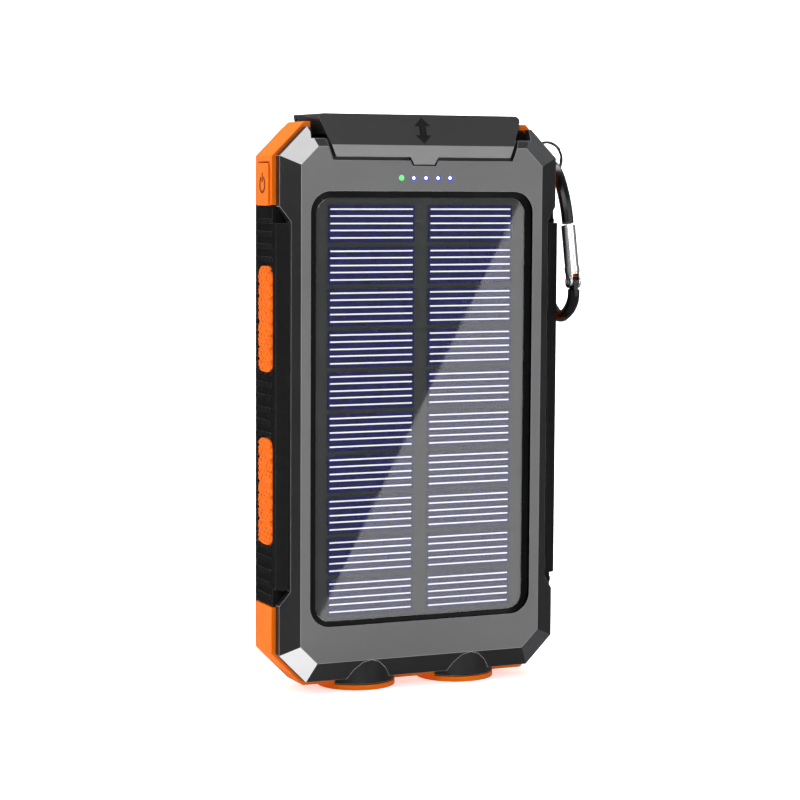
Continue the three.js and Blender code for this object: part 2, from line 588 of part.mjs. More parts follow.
/** The carabiner hangs from the ring and leans forward; its own z = 0 is the ring's wire. */
function carabiner() {
  const { rod: r, gate, line, rivet } = HOOK;
  const route = [[line, 14.2], [6.3, 10.4], [5.2, 5.2], [3.3, 0.4], [0.4, -2.6], [-3.3, -2.1],
    [-6.4, 1.4], [-8.4, 7], [-9.2, 13], [-9.2, 22], [-8.8, 29], [-6.8, 34.4], [-2.5, 37.7],
    [2.4, 37], [5.6, 34.6], [line, 32]];
  const path = new THREE.CatmullRomCurve3(
    route.map(([front, down]) => new THREE.Vector3(0, -front, -down)), false, 'centripetal');
  const section = polygon([0, 1, 2, 3, 4, 5, 6, 7, 8, 9].map((i) =>
    [r * Math.cos((i * Math.PI) / 5), r * Math.sin((i * Math.PI) / 5)]));
  const bow = solid(new THREE.ExtrudeGeometry(section, { steps: 56, extrudePath: path }));
  const hole = rod('X', -line, -rivet, 0.7, -5, 5, 12);
  const tab = join(
    box([-0.6, -line - 1.4, -32.6], [0.6, -line + 1.4, -rivet]),
    rod('X', -line, -rivet, 1.4, -0.6, 0.6, 16));
  const body = cut(join(bow, tab), hole);
  const sleeve = rod('Z', 0, -line, gate, -rivet, -14.9, 20);
  const fork = join(sleeve, rod('X', -line, -rivet, 1.6, -1.6, 1.6, 16));
  const slot = box([-0.9, -12, -34], [0.9, 0, -rivet + 1.9]);
  const collar = rod('Z', 0, -line, gate + 0.15, -rivet + 2.6, -rivet + 4, 20);
  const gateBody = join(cut(fork, slot, hole), collar);
  const group = new THREE.Group();
  group.add(
    piece('carabiner_body', body, FINISH.gloss),
    piece('carabiner_gate', gateBody, FINISH.chrome),
    piece('carabiner_rivet', rod('X', -line, -rivet, 0.6, -1.7, 1.7, 12), FINISH.steel),
  );
  group.position.set(HOOK.x, 0, HOOK.z);
  group.rotation.x = THREE.MathUtils.degToRad(-HOOK.lean);
  return group;
}

// ---- Assembly -----------------------------------------------------------------------------
const charger = new THREE.Group();
charger.position.set(-SIDE_OVERHANG / 2, FRONT_OVERHANG / 2, MID_Z);
charger.add(
  frontCover(),
  midFrame(),
  backCover(),
  ...cornerBands(),
  baseBand(),
  ...sideGrips(),
  powerButton(),
  ...capParts(),
  ...solarPanel(),
  lightGuide(),
  ...electronics(),
  ...torch(-1),
  ...torch(1),
  ...compass(),
  ...fasteners(),
  piece('lanyard_pin', rod('Y', PIN.x, PIN.z, PIN.r, -PIN.half, PIN.half, 16), FINISH.steel),
  splitRing(),
  carabiner(),
);

export default charger;
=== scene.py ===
"""Looks of the rugged solar charger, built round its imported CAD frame. Metres."""

import json
import math

import bmesh
import bpy
from mathutils import Matrix, Vector


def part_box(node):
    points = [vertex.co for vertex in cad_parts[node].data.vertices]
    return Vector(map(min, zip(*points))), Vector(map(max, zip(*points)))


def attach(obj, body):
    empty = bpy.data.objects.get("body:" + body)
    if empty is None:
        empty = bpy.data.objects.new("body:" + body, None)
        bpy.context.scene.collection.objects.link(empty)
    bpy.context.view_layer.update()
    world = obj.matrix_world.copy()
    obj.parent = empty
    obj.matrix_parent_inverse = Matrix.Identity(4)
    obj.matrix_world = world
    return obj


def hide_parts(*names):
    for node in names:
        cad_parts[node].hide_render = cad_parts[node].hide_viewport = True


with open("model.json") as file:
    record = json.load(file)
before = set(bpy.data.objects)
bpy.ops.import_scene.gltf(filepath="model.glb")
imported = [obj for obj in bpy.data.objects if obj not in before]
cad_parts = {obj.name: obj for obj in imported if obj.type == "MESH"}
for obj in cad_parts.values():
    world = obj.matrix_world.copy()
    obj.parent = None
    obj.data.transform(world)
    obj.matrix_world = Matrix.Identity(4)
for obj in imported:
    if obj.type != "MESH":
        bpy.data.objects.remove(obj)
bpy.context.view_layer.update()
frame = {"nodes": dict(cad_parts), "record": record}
MM = 0.001

# ---- Places read from the frame -----------------------------------------------------------
BODY_OF = {n: b for b, ns in frame["record"]["behaviour"]["bodies"].items() for n in ns}
cover_lo, cover_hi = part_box("front_cover")
glass_lo, glass_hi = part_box("solar_glass")
GLASS_DROP = 1.2 * MM      # from the middle of the flat front face down to the glass's middle
CENTRE_X = (cover_lo.x + cover_hi.x) / 2
FRONT_Y = cover_lo.y
MID_Z = (glass_lo.z + glass_hi.z) / 2 + GLASS_DROP


def at(x, y, z):
    """A place given in mm from the middle of the flat front face."""
    return Vector((CENTRE_X + x * MM, FRONT_Y + y * MM, MID_Z + z * MM))


# ---- Node material helpers ----------------------------------------------------------------
# Noise scales, in cells per metre
CLOUD, SMUDGE, SCUFF, DUST = 45.0, 120.0, 420.0, 300.0
# Sockets of a Mix node that mixes colours
MIX_FIRST, MIX_SECOND, MIX_RESULT = 6, 7, 2


def new_material(name):
    material = bpy.data.materials.new(name)
    material.use_nodes = True
    return material, material.node_tree, material.node_tree.nodes["Principled BSDF"]


def add_node(tree, kind, **inputs):
    node = tree.nodes.new(kind)
    for key, value in inputs.items():
        node.inputs[key.replace("_", " ")].default_value = value
    return node


def math_node(tree, operation, *values):
    """A maths node's output; each value is a number or the output that feeds it."""
    node = tree.nodes.new("ShaderNodeMath")
    node.operation = operation
    for socket, value in zip(node.inputs, values):
        if isinstance(value, (int, float)):
            socket.default_value = value
        else:
            tree.links.new(value, socket)
    return node.outputs[0]


def noise(tree, scale, detail, coords=None):
    """A noise texture in the piece's own coordinates."""
    node = add_node(tree, "ShaderNodeTexNoise", Scale=scale, Detail=detail)
    source = coords or tree.nodes.new("ShaderNodeTexCoord")
    tree.links.new(source.outputs["Object"], node.inputs["Vector"])
    return node


def ramp(tree, source, low, high, start=0.3, end=0.7):
    """A ramp between two colours."""
    node = tree.nodes.new("ShaderNodeValToRGB")
    stops = node.color_ramp.elements
    stops[0].position, stops[1].position = start, end
    stops[0].color, stops[1].color = (*low, 1), (*high, 1)
    tree.links.new(source, node.inputs["Fac"])
    return node


def bump(tree, height, strength, distance):
    node = add_node(tree, "ShaderNodeBump", Strength=strength, Distance=distance)
    tree.links.new(height, node.inputs["Height"])
    return node


def uneven_roughness(tree, shader, scale, detail, low, high, coords=None):
    """Roughness that wanders between two values."""
    wander = noise(tree, scale, detail, coords)
    level = ramp(tree, wander.outputs["Fac"], (low,) * 3, (high,) * 3)
    tree.links.new(level.outputs["Color"], shader.inputs["Roughness"])


def moulded(name, colour, rough=(0.3, 0.42), grain=2600.0, depth=0.02, tone=0.12, wear=0.25,
            metallic=0.0, shine=0.3):
    """Plastic, rubber, metal or paint: mottled colour, fine grain, handling marks, worn edges.

    rough is the range of its roughness, grain the scale and depth the height in mm of its fine
    relief, tone how far its colour strays, wear how much its edges pale, and shine how strongly
    it mirrors.
    """
    material, tree, shader = new_material(name)
    coords = tree.nodes.new("ShaderNodeTexCoord")
    cloud = noise(tree, CLOUD, 5.0, coords)
    darker = tuple(c * (1 - tone) for c in colour)
    lighter = tuple(min(1.0, c * (1 + tone)) for c in colour)
    base = ramp(tree, cloud.outputs["Fac"], darker, lighter)
    geometry = tree.nodes.new("ShaderNodeNewGeometry")
    edge = ramp(tree, geometry.outputs["Pointiness"], (0, 0, 0), (1, 1, 1), 0.52, 0.62)
    scuff = noise(tree, SCUFF, 3.0, coords)
    worn = math_node(tree, "MULTIPLY", edge.outputs["Color"], scuff.outputs["Fac"])
    faded = math_node(tree, "MULTIPLY", worn, wear)
    mix = tree.nodes.new("ShaderNodeMix")
    mix.data_type = "RGBA"
    tree.links.new(faded, mix.inputs[0])
    tree.links.new(base.outputs["Color"], mix.inputs[MIX_FIRST])
    pale = (min(1.0, c * 1.6 + 0.05) for c in colour)
    mix.inputs[MIX_SECOND].default_value = (*pale, 1)
    tree.links.new(mix.outputs[MIX_RESULT], shader.inputs["Base Color"])
    uneven_roughness(tree, shader, SMUDGE, 6.0, *rough, coords)
    fine = noise(tree, grain, 2.0, coords)
    relief = bump(tree, fine.outputs["Fac"], 0.35, depth * MM)
    tree.links.new(relief.outputs["Normal"], shader.inputs["Normal"])
    shader.inputs["Metallic"].default_value = metallic
    shader.inputs["Specular IOR Level"].default_value = shine
    return material


def clear_plastic():
    """A thin clear moulding, see-through and glossy, with faint dust in its roughness."""
    material, tree, shader = new_material("clear_plastic")
    uneven_roughness(tree, shader, DUST, 6.0, 0.03, 0.08)
    shader.inputs["Base Color"].default_value = (0.3, 0.32, 0.34, 1)
    shader.inputs["Alpha"].default_value = 0.08
    shader.inputs["IOR"].default_value = 1.5
    return material


HEAD_ON_MIRROR = 0.043     # share of light that one face of plain glass mirrors head on
SLANT_POWER = 5            # how steeply that share grows towards a grazing view


def window_glass():
    """Thin flat glass: see-through from any side, with a mirror image that grows at a slant."""
    material, tree, shader = new_material("panel_glass")
    uneven_roughness(tree, shader, DUST, 6.0, 0.01, 0.03)
    shader.inputs["Base Color"].default_value = (0.96, 0.97, 1, 1)
    shader.inputs["Metallic"].default_value = 1
    through = tree.nodes.new("ShaderNodeBsdfTransparent")
    facing = add_node(tree, "ShaderNodeLayerWeight", Blend=0.5)
    slant = math_node(tree, "POWER", facing.outputs["Facing"], SLANT_POWER)
    share = math_node(tree, "MULTIPLY_ADD", slant, 1 - HEAD_ON_MIRROR, HEAD_ON_MIRROR)
    mix = tree.nodes.new("ShaderNodeMixShader")
    tree.links.new(share, mix.inputs[0])
    tree.links.new(through.outputs[0], mix.inputs[1])
    tree.links.new(shader.outputs[0], mix.inputs[2])
    tree.links.new(mix.outputs[0], tree.nodes["Material Output"].inputs["Surface"])
    return material


def lit(name, colour, strength):
    """A glowing lamp or light, slightly uneven."""
    material, tree, shader = new_material(name)
    grain = noise(tree, 900.0, 2.0)
    tint = ramp(tree, grain.outputs["Fac"], tuple(c * 0.8 for c in colour), colour)
    tree.links.new(tint.outputs["Color"], shader.inputs["Emission Color"])
    tree.links.new(tint.outputs["Color"], shader.inputs["Base Color"])
    shader.inputs["Emission Strength"].default_value = strength
    return material


def cell_material():
    """Dark blue silicon with fine crystal grain under its lacquer."""
    material, tree, shader = new_material("solar_cell")
    coords = tree.nodes.new("ShaderNodeTexCoord")
    crystals = add_node(tree, "ShaderNodeTexVoronoi", Scale=320.0)
    tree.links.new(coords.outputs["Object"], crystals.inputs["Vector"])
    tint = ramp(tree, crystals.outputs["Distance"], (0.003, 0.003, 0.05), (0.006, 0.007, 0.085),
                0.1, 0.8)
    tree.links.new(tint.outputs["Color"], shader.inputs["Base Color"])
    uneven_roughness(tree, shader, 160.0, 3.0, 0.22, 0.34, coords)
    shader.inputs["Specular IOR Level"].default_value = 0.1
    return material


MATERIALS = {
    "cover": moulded("cover_plastic", (0.125, 0.125, 0.127), (0.36, 0.46), tone=0.05, wear=0),
    # The cap's front lip: the cap's own black, lightened as a painted highlight because it faces
    # the light.
    "lip": moulded("cap_lip_painted_highlight", (0.2, 0.2, 0.2), (0.36, 0.46), tone=0.05, wear=0),
    "cap": moulded("cap_plastic", (0.02, 0.02, 0.0205), (0.32, 0.42), tone=0.05, wear=0,
                   shine=0.2),
    # The cover's bevels: the cover's own plastic, darkened as painted shade.
    "bevel": moulded("cover_bevel_painted_shade", (0.013, 0.013, 0.0135), (0.3, 0.4), tone=0.06, wear=0,
                     shine=0.25),
    "facet": moulded("corner_facet", (0.14, 0.14, 0.145), (0.2, 0.26), depth=0.01, tone=0.03,
                     wear=0.1, metallic=0.85),
    # Rounded edges of the cover and the cap, lightened as a painted highlight.
    "edge": moulded("edge_painted_highlight", (0.34, 0.34, 0.35), (0.3, 0.4), tone=0.05),
    "back": moulded("back_plastic", (0.016, 0.016, 0.017), (0.4, 0.55), grain=3200.0, depth=0.03,
                    tone=0.1, wear=0, shine=0.2),
    "rubber": moulded("black_rubber", (0.005, 0.005, 0.005), (0.55, 0.75), grain=1800.0,
                      depth=0.05, tone=0.15, wear=0.1, shine=0.08),
    # Rounded edges of the black rubber ribs, lightened as a painted highlight.
    "rubber_edge_highlight": moulded("rubber_edge_highlight", (0.17, 0.17, 0.17), (0.45, 0.6), tone=0.1, shine=0.2),
    "orange": moulded("orange_plastic", (0.72, 0.135, 0.003), (0.36, 0.5), grain=2400.0,
                      tone=0.08, wear=0, shine=0.08),
    "grip": moulded("orange_rubber", (0.72, 0.12, 0.002), (0.5, 0.68), grain=1500.0, depth=0.06,
                    tone=0.14, wear=0.2, shine=0.1),
    # Darker orange for the valleys between the grip's bumps: painted shade.
    "grip_valley_shade": moulded("orange_rubber_valley_shade", (0.36, 0.05, 0.001), (0.5, 0.68), grain=1500.0,
                        depth=0.06, tone=0.14, shine=0.05),
    "mark": moulded("dark_mark", (0.003, 0.003, 0.003), (0.5, 0.6), shine=0.05),
    "orange_mark": moulded("orange_mark", (0.12, 0.016, 0.002), (0.5, 0.6)),
    "gloss": moulded("black_gloss", (0.003, 0.003, 0.003), (0.12, 0.2), grain=900.0, depth=0.005,
                     tone=0.1, wear=0.2),
    # Near-black ring over the recess walls round the glass: painted shade and dark reflection.
    "gasket": moulded("recess_shade_ring", (0.002, 0.002, 0.002), (0.2, 0.3), grain=900.0,
                      depth=0.004, tone=0.1, wear=0.1, shine=0.12),
    "board": moulded("panel_board", (0.026, 0.027, 0.025), (0.5, 0.62), grain=2000.0,
                     depth=0.002, shine=0.1),
    "cell": cell_material(),
    "line": moulded("silver_line", (0.9, 0.9, 0.95), grain=3000.0, depth=0.01, tone=0.04),
    "glass": window_glass(),
    "clear": clear_plastic(),
    "chrome": moulded("chrome", (0.78, 0.78, 0.8), (0.1, 0.2), grain=1200.0, depth=0.01,
                      tone=0.04, wear=0.1, metallic=1.0),
    "steel": moulded("steel", (0.55, 0.55, 0.56), (0.25, 0.4), grain=1600.0, tone=0.08,
                     wear=0.1, metallic=1.0),
    "dark_steel": moulded("dark_steel", (0.05, 0.05, 0.052), (0.2, 0.3), grain=1600.0,
                          tone=0.08, wear=0.1, metallic=0.9),
    "brass": moulded("brass", (0.72, 0.5, 0.2), (0.2, 0.32), grain=1500.0, depth=0.01,
                     tone=0.06, wear=0.1, metallic=1.0),
    "white": moulded("white_plastic", (0.8, 0.8, 0.76), (0.35, 0.5)),
    "pcb": moulded("circuit_board", (0.012, 0.11, 0.035), (0.3, 0.45)),
    "foil": moulded("battery_foil", (0.6, 0.62, 0.64), (0.3, 0.45), grain=700.0, depth=0.06,
                    tone=0.06, wear=0.1, metallic=0.7),
    "green_paint": moulded("green_paint", (0.05, 0.6, 0.16), (0.4, 0.5)),
    "white_paint": moulded("white_paint", (0.85, 0.85, 0.85), (0.4, 0.5)),
    "green_light": lit("green_light", (0.1, 0.9, 0.16), 0.9),
    "blue_light": lit("blue_light", (0.03, 0.05, 1.0), 1.0),
    "white_light": lit("white_light", (0.75, 0.82, 1.0), 3.0),
    "torch_light": lit("torch_light", (1.0, 0.97, 0.9), 4.0),
}


# ---- Mesh helpers -------------------------------------------------------------------------
LARGE_FACE = 40 * MM ** 2              # a face above this area stays flat
MERGE_WITHIN = 0.002 * MM              # corners closer than this become one
FLAT_WITHIN = math.radians(0.6)        # faces that meet flatter than this become one
BEVEL_ANGLE = 28                       # degrees from which an edge is rounded
SMOOTH_ANGLE = 32                      # degrees up to which shading runs across an edge


def add_object(name, data):
    obj = bpy.data.objects.new(name, data)
    bpy.context.scene.collection.objects.link(obj)
    return obj


def place(name, mesh, finish, body, replaces=None):
    """A finished mesh as a piece that rides on a body, with one finish or several by face index."""
    obj = add_object(name, mesh)
    finishes = (finish,) if isinstance(finish, str) else finish
    indices = [polygon.material_index for polygon in mesh.polygons]
    mesh.materials.clear()
    for key in finishes:
        mesh.materials.append(MATERIALS[key])
    if len(finishes) > 1:
        mesh.polygons.foreach_set("material_index", indices)
    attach(obj, body)
    if replaces:
        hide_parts(replaces)


def smooth_by_angle(mesh, degrees):
    """Soft shading everywhere but on large flat faces and across sharp edges."""
    bm = bmesh.new()
    bm.from_mesh(mesh)
    limit = math.radians(degrees)
    for face in bm.faces:
        face.smooth = face.calc_area() < LARGE_FACE
    for edge in bm.edges:
        edge.smooth = len(edge.link_faces) == 2 and edge.calc_face_angle(0) < limit
    bm.to_mesh(mesh)
    bm.free()


def evaluated(obj):
    """The mesh an object shows; the object itself is removed."""
    bpy.context.view_layer.update()
    depsgraph = bpy.context.evaluated_depsgraph_get()
    mesh = bpy.data.meshes.new_from_object(obj.evaluated_get(depsgraph))
    bpy.data.objects.remove(obj)
    return mesh


def baked(mesh, kind, **settings):
    """The mesh with one modifier applied."""
    obj = add_object("work", mesh)
    modifier = obj.modifiers.new(kind.lower(), kind)
    for key, value in settings.items():
        setattr(modifier, key, value)
    return evaluated(obj)


def shaded(mesh, degrees=SMOOTH_ANGLE):
    """Soft shading that leaves the large flat faces flat."""
    smooth_by_angle(mesh, degrees)
    return baked(mesh, "WEIGHTED_NORMAL", mode="FACE_AREA", weight=90, keep_sharp=True)


def bevelled(mesh, width, segments, angle, **settings):
    """The mesh with the edges sharper than an angle rounded; the width is in mm."""
    return baked(mesh, "BEVEL", width=width * MM, segments=segments, limit_method="ANGLE",
                 angle_limit=math.radians(angle), **settings)


def merged_mesh(node, edge_slot=-1, shape=None):
    """A copy of a CAD node with its coplanar faces merged, and then shaped if need be."""
    mesh = frame["nodes"][node].data.copy()
    mesh.materials.clear()
    for _ in range(edge_slot + 1):
        mesh.materials.append(None)
    bm = bmesh.new()
    bm.from_mesh(mesh)
    bmesh.ops.remove_doubles(bm, verts=bm.verts, dist=MERGE_WITHIN)
    bmesh.ops.dissolve_limit(
        bm, angle_limit=FLAT_WITHIN, verts=bm.verts, edges=bm.edges, delimit=set())
    if shape:
        shape(bm)
    bm.to_mesh(mesh)
    bm.free()
    return mesh


def refined_mesh(node, width, segments=2, angle=BEVEL_ANGLE, edge_slot=-1, shape=None):
    """A merged copy of a CAD node with its hard edges rounded, and those faces in edge_slot."""
    return bevelled(merged_mesh(node, edge_slot, shape), width, segments, angle,
                    miter_outer="MITER_ARC", material=edge_slot)


def refine(node, width, finish, segments=2):
    """The rounded copy of a CAD node, shown in its place."""
    mesh = shaded(refined_mesh(node, width, segments))
    place(node + "_skin", mesh, finish, BODY_OF[node], node)


def prism(bm, outline, start, depth):
    """Adds a closed prism: the outline moved by start and drawn out by depth."""
    low = [bm.verts.new(p + start) for p in outline]
    high = [bm.verts.new(p + start + depth) for p in outline]
    bm.faces.new(low)
    bm.faces.new(list(reversed(high)))
    for i, a in enumerate(low):
        j = (i + 1) % len(low)
        bm.faces.new((a, high[i], high[j], low[j]))


def bridge(bm, loops):
    """Adds the faces between each closed loop of corners and the next."""
    for a, b in zip(loops, loops[1:]):
        for i in range(len(a)):
            j = (i + 1) % len(a)
            bm.faces.new((a[i], a[j], b[j], b[i]))


def finish_mesh(bm, name):
    bmesh.ops.recalc_face_normals(bm, faces=bm.faces)
    mesh = bpy.data.meshes.new(name)
    bm.to_mesh(mesh)
    bm.free()
    return mesh


def plate_outline(x0, z0, x1, z1, r, steps):
    """Points of a round-cornered rectangle in the X-Z plane, in metres."""
    points = []
    corners = ((x1 - r, z0 + r, -90), (x1 - r, z1 - r, 0),
               (x0 + r, z1 - r, 90), (x0 + r, z0 + r, 180))
    for cx, cz, start in corners:
        for i in range(steps + 1):
            a = math.radians(start + 90 * i / steps)
            points.append(Vector((cx + r * math.cos(a), 0, cz + r * math.sin(a))))
    return points


def ring_points(cx, cz, r, count, y):
    """Points of a circle that faces along Y."""
    return [Vector((cx + r * math.cos(2 * math.pi * i / count), y,
                    cz + r * math.sin(2 * math.pi * i / count))) for i in range(count)]


# ---- Camera, floor and light --------------------------------------------------------------
EYE_OFFSET = (-263.6, -570.9, 57.3)    # mm from the middle of the flat front face
YAW, PITCH, ROLL = math.radians(24.24), math.radians(5.12), math.radians(0.32)
LENS, SENSOR = 109.8, 36

# The floor in metres: its near edge, where it starts to rise, and how it rises
FLOOR_NEAR, FLOOR_HALF_WIDTH = -3.0, 4.0
SWEEP_START, SWEEP_RADIUS, SWEEP_STEPS = 0.9, 0.8, 12
BACKDROP_TOP = 4.0

# Where the panel card's corners show on the glass, in mm, and its distance in metres
PANEL_CARD_CORNERS = ((36.6, 68), (70, 68), (70, -75), (-39.5, -75))
PANEL_CARD_REACH = 0.62
# A corner facet's normal and middle, and its card's distance and half side in metres
FACET_NORMAL, FACET_MIDDLE = (-0.257, -0.932, 0.257), (-33.5, 1, 65.5)
FACET_CARD_REACH, FACET_CARD_HALF = 0.5, 0.16


def camera_axes():
    """The camera's right, up and forward directions."""
    forward = Vector((math.sin(YAW) * math.cos(PITCH), math.cos(YAW) * math.cos(PITCH),
                      -math.sin(PITCH)))
    side = Vector((math.cos(YAW), -math.sin(YAW), 0))
    up = side.cross(forward)
    right = side * math.cos(ROLL) + up * math.sin(ROLL)
    up = up * math.cos(ROLL) - side * math.sin(ROLL)
    return right, up, forward


def make_camera():
    data = bpy.data.cameras.new("camera")
    data.lens = LENS
    data.sensor_width = SENSOR
    data.clip_start = 0.01
    camera = add_object("camera", data)
    right, up, forward = camera_axes()
    turn = Matrix((right, up, -forward)).transposed().to_4x4()
    camera.matrix_world = Matrix.Translation(at(*EYE_OFFSET)) @ turn
    bpy.context.scene.camera = camera


def make_floor():
    """A pale floor that sweeps up into a backdrop well behind the charger."""
    profile = [(FLOOR_NEAR, 0), (SWEEP_START, 0)]
    for i in range(1, SWEEP_STEPS + 1):
        a = math.radians(90 * i / SWEEP_STEPS)
        profile.append((SWEEP_START + SWEEP_RADIUS * math.sin(a),
                        SWEEP_RADIUS * (1 - math.cos(a))))
    profile.append((SWEEP_START + SWEEP_RADIUS, BACKDROP_TOP))
    bm = bmesh.new()
    rows = [[bm.verts.new((x, y, z)) for x in (-FLOOR_HALF_WIDTH, FLOOR_HALF_WIDTH)]
            for y, z in profile]
    for a, b in zip(rows, rows[1:]):
        bm.faces.new((a[0], a[1], b[1], b[0]))
    for face in bm.faces:
        face.smooth = True
    mesh = bpy.data.meshes.new("floor")
    bm.to_mesh(mesh)
    bm.free()
    material, tree, shader = new_material("paper")
    tint = ramp(tree, noise(tree, 6.0, 3.0).outputs["Fac"], (0.9, 0.9, 0.9), (0.94, 0.94, 0.94))
    tree.links.new(tint.outputs["Color"], shader.inputs["Base Color"])
    shader.inputs["Roughness"].default_value = 0.85
    tree.links.new(tint.outputs["Color"], shader.inputs["Emission Color"])
    shader.inputs["Emission Strength"].default_value = 0.6
    mesh.materials.append(material)
    floor = add_object("floor", mesh)
    floor.visible_glossy = False       # so that it can't hide the cards from the glass


def area_light(name, place_mm, aim_mm, size, power):
    data = bpy.data.lights.new(name, "AREA")
    data.shape = "RECTANGLE"
    data.size, data.size_y = size
    data.energy = power
    light = add_object(name, data)
    spot, aim = at(*place_mm), at(*aim_mm)
    light.location = spot
    light.rotation_euler = (aim - spot).to_track_quat("-Z", "Y").to_euler()


def light_card(name, corners, strength):
    """A glowing card that only shows as a reflection."""
    mesh = bpy.data.meshes.new(name)
    mesh.from_pydata(corners, [], [(0, 1, 2, 3)])
    material, _, shader = new_material(name + "_light")
    shader.inputs["Base Color"].default_value = (0, 0, 0, 1)
    shader.inputs["Emission Color"].default_value = (1, 0.99, 0.97, 1)
    shader.inputs["Emission Strength"].default_value = strength
    mesh.materials.append(material)
    card = add_object(name, mesh)
    card.visible_camera = False
    card.visible_diffuse = False
    card.visible_shadow = False


def panel_card(strength):
    """Beside the camera, with the slanting edge that the panel's glass mirrors."""
    eye = at(*EYE_OFFSET)

    def mirrored(x, z):
        spot = at(x, 0, z)
        spot.y = glass_lo.y
        ray = spot - eye
        ray.y = -ray.y
        return spot + ray * (PANEL_CARD_REACH / abs(ray.y))

    light_card("panel_card", [mirrored(x, z) for x, z in PANEL_CARD_CORNERS], strength)


def facet_card(name, side_z, strength):
    """Where the upper (1) or lower (-1) left corner facet mirrors it towards the camera."""
    flip = Vector((1, 1, side_z))
    normal = (Vector(FACET_NORMAL) * flip).normalized()
    spot = at(*(Vector(FACET_MIDDLE) * flip))
    ray = (spot - at(*EYE_OFFSET)).normalized()
    out = ray - 2 * ray.dot(normal) * normal
    middle = spot + out * FACET_CARD_REACH
    across = out.cross(Vector((0, 0, 1))).normalized() * FACET_CARD_HALF
    upward = across.cross(out).normalized() * FACET_CARD_HALF
    corners = [middle + across * u + upward * v for u, v in ((-1, -1), (1, -1), (1, 1), (-1, 1))]
    light_card(name, corners, strength)


def make_lights():
    """A dim even surround, four area lights and three cards; places in mm, sizes in metres."""
    world = bpy.data.worlds.new("studio")
    world.use_nodes = True
    background = world.node_tree.nodes["Background"]
    background.inputs["Color"].default_value = (0.95, 0.97, 1, 1)
    background.inputs["Strength"].default_value = 0.24
    bpy.context.scene.world = world
    bpy.context.scene.view_settings.view_transform = "Standard"
    area_light("key", (-900, -500, 700), (0, 0, 0), (0.5, 0.5), 3.8)
    area_light("fill", (700, -900, 500), (0, 0, 0), (0.7, 0.7), 2.9)
    area_light("top", (0, 300, 1100), (0, 200, 0), (0.9, 0.9), 6)
    area_light("backdrop", (0, 300, 1400), (0, 1500, 300), (2.0, 1.0), 45)
    panel_card(1.9)
    facet_card("upper_facet_card", 1, 5.5)
    facet_card("lower_facet_card", -1, 7.5)


# ---- Housing ------------------------------------------------------------------------------
FLAT_FRONT = 0.985         # a face that looks to the front more squarely than this is flat
FACET_FRONT, FACET_SIDE = 0.85, 0.2    # least frontward, and sideways and upward, of a facet
FLAT_BOTTOM = -66.5        # mm: below it no face counts as the flat front
PLUG_SUNK = 0.05 * MM      # how far the screw plugs sit under the flat back

GROOVE_CORNERS = ((-18, -57), (18, -57), (11.5, -41), (-11.5, -41))    # mm on the back
GROOVE_HALF, GROOVE_PROUD, GROOVE_SUNK = 0.16 * MM, 0.03 * MM, 0.2 * MM


def make_cover():
    """Grey flat front, bevels darkened with painted shade, satin corner facets and edges with a
    painted highlight.
    """
    finishes = ("cover", "bevel", "facet", "edge")
    flat, bevel, facet, edge = range(len(finishes))
    # The bevel modifier puts the rounded edges in the edge finish, a painted highlight.
    mesh = refined_mesh("front_cover", 0.3, angle=17, edge_slot=edge)
    bottom = at(0, 0, FLAT_BOTTOM).z
    # Each face takes its colour from the way it faces: the flat front keeps the plastic's grey, the
    # bevels get painted shade.
    for polygon in mesh.polygons:
        n = polygon.normal
        if polygon.material_index == edge:
            continue
        if -n.y > FLAT_FRONT and polygon.center.z > bottom:
            polygon.material_index = flat
        elif -n.y > FACET_FRONT and min(abs(n.x), abs(n.z)) > FACET_SIDE:
            polygon.material_index = facet
        else:
            polygon.material_index = bevel
    place("front_cover_skin", shaded(mesh, 16), finishes, "housing",
          "front_cover")


def make_housing():
    make_cover()
    refine("back_cover", 0.3, "back")
    # The ribs' rounded edges take a painted highlight.
    ribbed = shaded(refined_mesh("mid_frame", 0.16, edge_slot=1))
    place("mid_frame_skin", ribbed, ("rubber", "rubber_edge_highlight"), "housing",
          "mid_frame")
    for node in ("corner_band_left", "corner_band_right", "base_band"):
        refine(node, 0.3, "orange", 3)


def back_y():
    """Y of the flat back, read from the plugs that sit just under it."""
    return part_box("screw_plug_upper_left")[1].y + PLUG_SUNK


def groove_line():
    """The thin trapezoid line round the lower slot in the back."""
    bm = bmesh.new()
    back = back_y()
    for (x0, z0), (x1, z1) in zip(GROOVE_CORNERS, GROOVE_CORNERS[1:] + GROOVE_CORNERS[:1]):
        a, b = at(x0, 0, z0), at(x1, 0, z1)
        along = (b - a).normalized()
        across = Vector((-along.z, 0, along.x)) * GROOVE_HALF
        a, b = a - along * GROOVE_HALF, b + along * GROOVE_HALF
        outline = [a - across, b - across, b + across, a + across]
        for p in outline:
            p.y = back
        prism(bm, outline, Vector((0, -GROOVE_SUNK, 0)), Vector((0, GROOVE_SUNK + GROOVE_PROUD, 0)))
    place("back_groove_line", finish_mesh(bm, "back_groove_line"), "mark", "housing")


# ---- Grips --------------------------------------------------------------------------------
GRIP_COLUMNS, GRIP_ROWS = 26, 150
GRIP_END_RADIUS, LEAST_HALF_WIDTH = 2.6 * MM, 0.6 * MM
SCALLOP_PITCH, SCALLOP_DEPTH = 3.2 * MM, 0.8 * MM
LOZENGE_PITCH = 2.3 * MM
# Shares of a grip's thickness that its rim, its crown and its bumps take up
RIM_SHARE, CROWN_SHARE, LOZENGE_SHARE = 0.5, 0.22, 0.28


